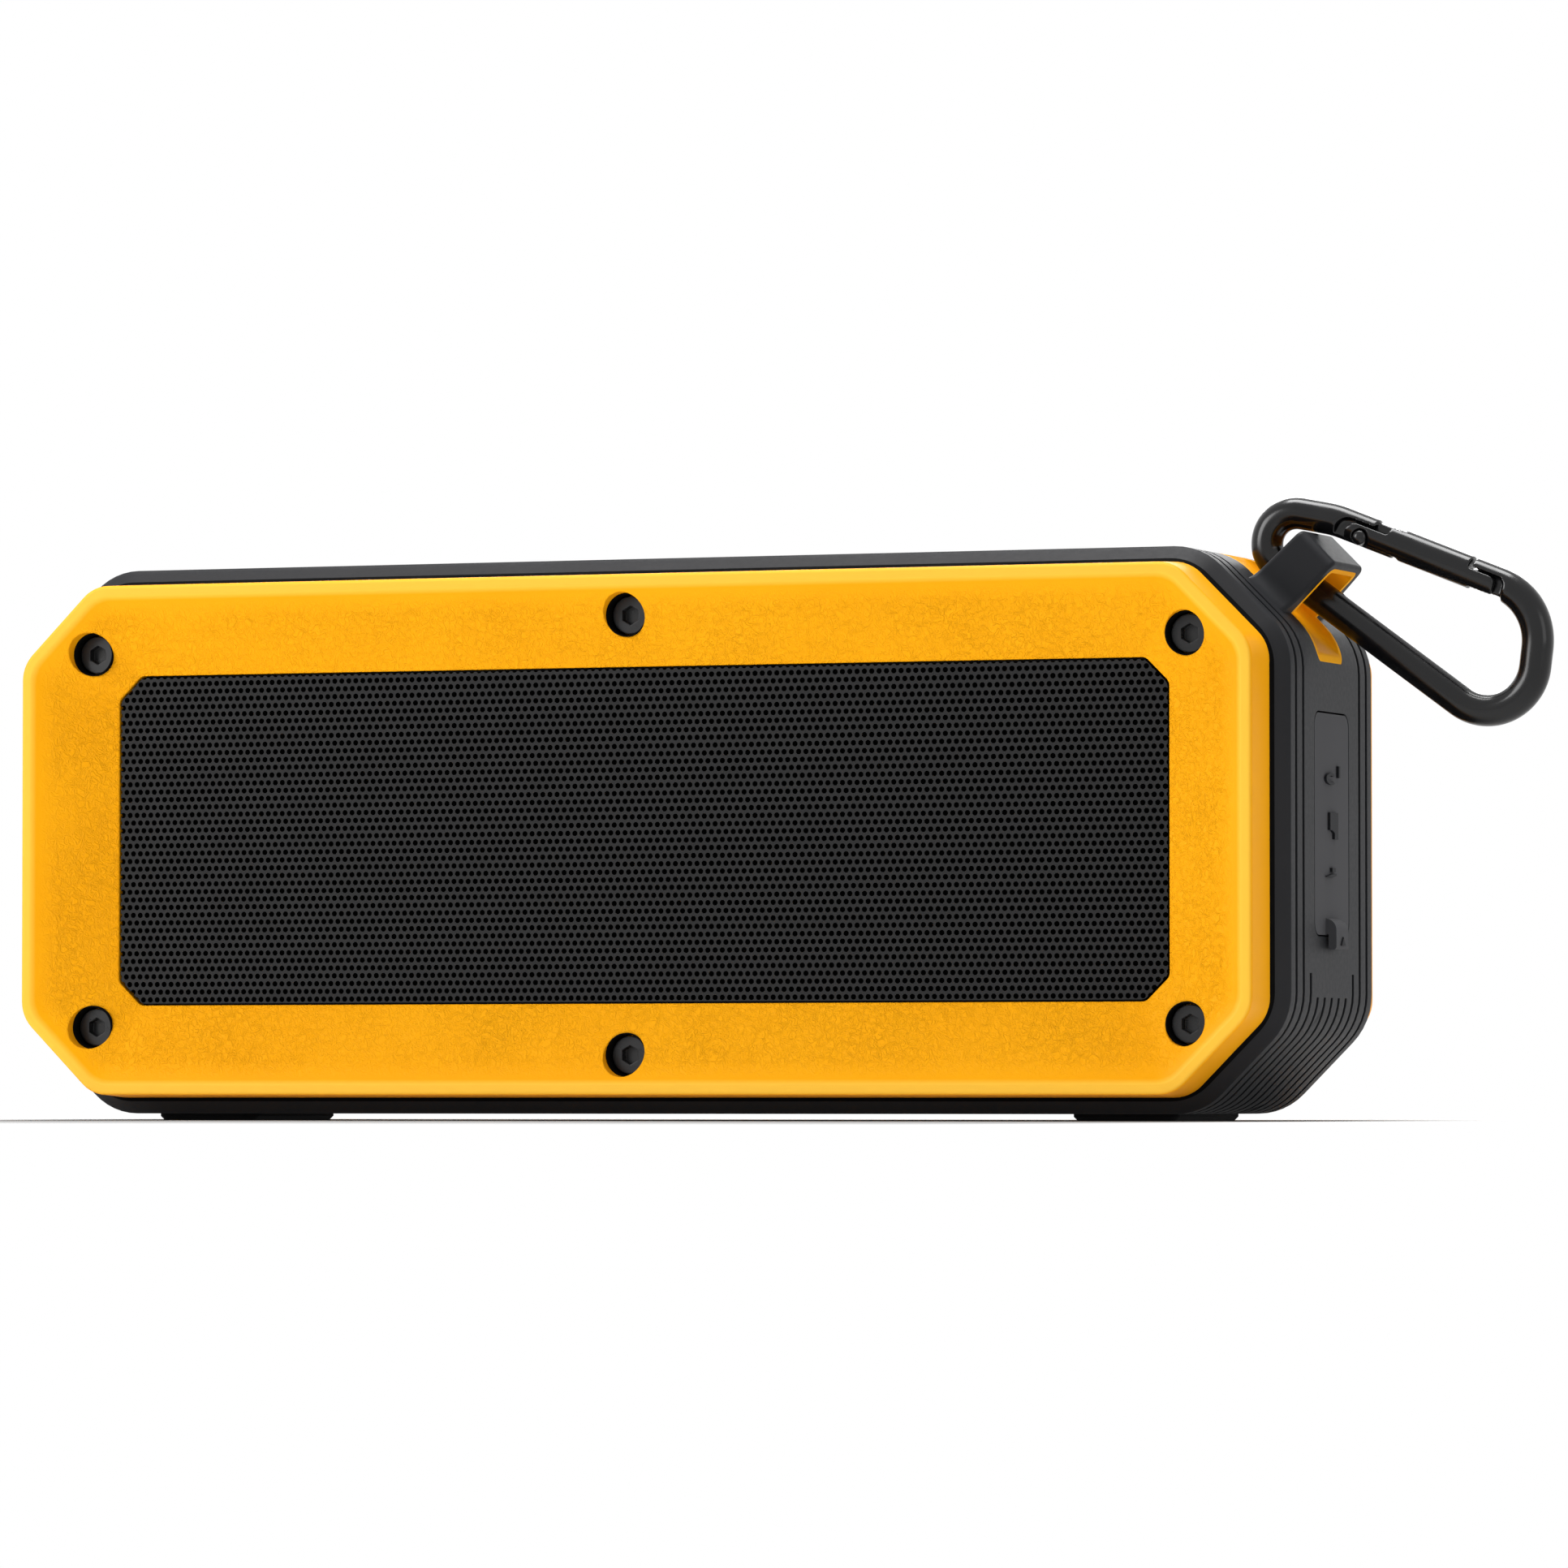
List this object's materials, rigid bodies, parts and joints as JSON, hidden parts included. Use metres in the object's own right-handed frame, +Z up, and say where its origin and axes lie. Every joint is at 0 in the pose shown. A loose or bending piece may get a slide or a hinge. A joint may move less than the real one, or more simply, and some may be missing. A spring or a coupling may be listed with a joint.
{
  "type": "bluetooth speaker",
  "caption": "Rugged box speaker: funnel bezels front and rear around perforated grilles, grooved ring casing with rubber feet, port flap, top buttons and a carabiner on a corner lug.",
  "frame": {"origin": "on the table plane under the middle of the casing, level with the soles of the feet", "axes": "+X along the speaker towards the lug and the port flap, the front faces -Y, +Z up"},
  "size_m": [0.2336, 0.059, 0.0911],
  "materials": {
    "casing_plastic": "fine matt dark grey",
    "bezel_plastic": "yellow, wrinkled leather-like grain on the sloping faces, smooth rim",
    "grille_metal": "black powder coat, perforated in close staggered rows",
    "screw_steel": "black oxide, satin",
    "insert_brass": "plain turned",
    "gasket_foam": "closed-cell foam, matt",
    "baffle_plastic": "matt black",
    "foot_rubber": "matt black",
    "liner_rubber": "yellow, smooth matt",
    "flap_rubber": null,
    "button_rubber": null,
    "port_plastic": "gloss black",
    "socket_steel": "plain stamped shell",
    "board_laminate": "green solder mask",
    "cell_case": "plain blue sleeve",
    "tray_plastic": "matt black",
    "basket_steel": "black paint",
    "magnet_ferrite": "dark grey ferrite",
    "cone_paper": "pressed black cone",
    "surround_rubber": "matt black",
    "weight_steel": "plain plate",
    "carabiner_black": "gloss black anodised",
    "rivet_black": "gloss black"
  },
  "bodies": {
    "housing": {"casing": "casing_plastic", "front_bezel": "bezel_plastic", "rear_bezel": "bezel_plastic", "front_grille": "grille_metal", "rear_grille": "grille_metal", "front_baffle": "baffle_plastic", "rear_baffle": "baffle_plastic", "front_gasket": "gasket_foam", "rear_gasket": "gasket_foam", "front_screws": "screw_steel", "rear_screws": "screw_steel", "front_inserts": "insert_brass", "rear_inserts": "insert_brass", "foot_left": "foot_rubber", "foot_right": "foot_rubber", "lug_liner": "liner_rubber", "flap_anchor": "flap_rubber", "port_plate": "port_plastic", "usb_socket": "socket_steel", "aux_socket": "port_plastic", "card_socket": "socket_steel", "main_board": "board_laminate", "board_screws": "screw_steel", "battery_tray": "tray_plastic", "battery_cells": "cell_case", "radiator_frame": "baffle_plastic", "radiator_surround": "surround_rubber", "radiator_plate": "weight_steel", "keypad_board": "board_laminate", "button_switches": "port_plastic", "left_driver_basket": "basket_steel", "left_driver_magnet": "magnet_ferrite", "left_driver_cone": "cone_paper", "left_driver_surround": "surround_rubber", "right_driver_basket": "basket_steel", "right_driver_magnet": "magnet_ferrite", "right_driver_cone": "cone_paper", "right_driver_surround": "surround_rubber"},
    "carabiner": {"carabiner": "carabiner_black", "gate_rivet": "rivet_black"},
    "carabiner_gate": {"carabiner_gate": "carabiner_black"},
    "port_flap": {"port_flap": "flap_rubber"},
    "power_button": {"power_button": "button_rubber"},
    "volume_down_button": {"volume_down_button": "button_rubber"},
    "play_button": {"play_button": "button_rubber"},
    "volume_up_button": {"volume_up_button": "button_rubber"},
    "pairing_button": {"pairing_button": "button_rubber"}
  },
  "joints": [
    {"name": "carabiner_swing", "type": "hinge", "parent": "housing", "child": "carabiner", "pos_m": [0.09542, 0, 0.07842], "axis": [0, 1, 0], "range_deg": [-9, 10]},
    {"name": "gate_pivot", "type": "hinge", "parent": "carabiner", "child": "carabiner_gate", "pos_m": [0.10494, 0, 0.08483], "axis": [0, 1, 0], "range_deg": [0, 18], "stiffness_Nm_per_rad": 0.04, "springref_deg": -28.65},
    {"name": "port_flap_hinge", "type": "hinge", "parent": "housing", "child": "port_flap", "pos_m": [0.1, 0, 0.05925], "axis": [0, -1, 0], "range_deg": [0, 65], "stiffness_Nm_per_rad": 0.002, "springref_deg": -5.73},
    {"name": "power_press", "type": "slide", "parent": "housing", "child": "power_button", "axis": [0, 0, -1], "range_m": [0, 0.0008], "stiffness_N_per_m": 1500, "springref_m": -0.0003},
    {"name": "volume_down_press", "type": "slide", "parent": "housing", "child": "volume_down_button", "axis": [0, 0, -1], "range_m": [0, 0.0008], "stiffness_N_per_m": 1500, "springref_m": -0.0003},
    {"name": "play_press", "type": "slide", "parent": "housing", "child": "play_button", "axis": [0, 0, -1], "range_m": [0, 0.0008], "stiffness_N_per_m": 1500, "springref_m": -0.0003},
    {"name": "volume_up_press", "type": "slide", "parent": "housing", "child": "volume_up_button", "axis": [0, 0, -1], "range_m": [0, 0.0008], "stiffness_N_per_m": 1500, "springref_m": -0.0003},
    {"name": "pairing_press", "type": "slide", "parent": "housing", "child": "pairing_button", "axis": [0, 0, -1], "range_m": [0, 0.0008], "stiffness_N_per_m": 1500, "springref_m": -0.0003}
  ]
}
